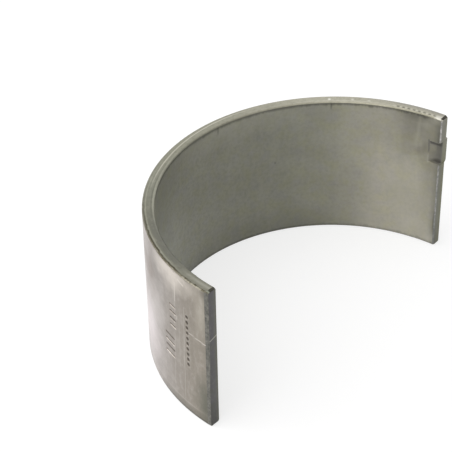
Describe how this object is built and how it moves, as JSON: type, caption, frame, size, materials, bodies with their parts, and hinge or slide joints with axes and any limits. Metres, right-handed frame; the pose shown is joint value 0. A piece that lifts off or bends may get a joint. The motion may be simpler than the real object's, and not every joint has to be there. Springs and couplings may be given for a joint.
{
  "type": "engine bearing shell",
  "caption": "Half-round plain bearing shell with bevelled side edges, flat parting faces and a pressed-out locating tang, lining half of an engine's journal housing.",
  "frame": {"origin": "on the bearing axis, half way along the shell's width", "axes": "+Z along the bearing axis and up, with the shell standing on a side face; +Y from the axis to the crown; +X towards the end with the locating tang"},
  "size_m": [0.0579, 0.028, 0.0242],
  "materials": {
    "shell": "satin grey lining and bright machined steel back and edges"
  },
  "bodies": {
    "root": {"bearing_shell": "shell"}
  },
  "joints": []
}
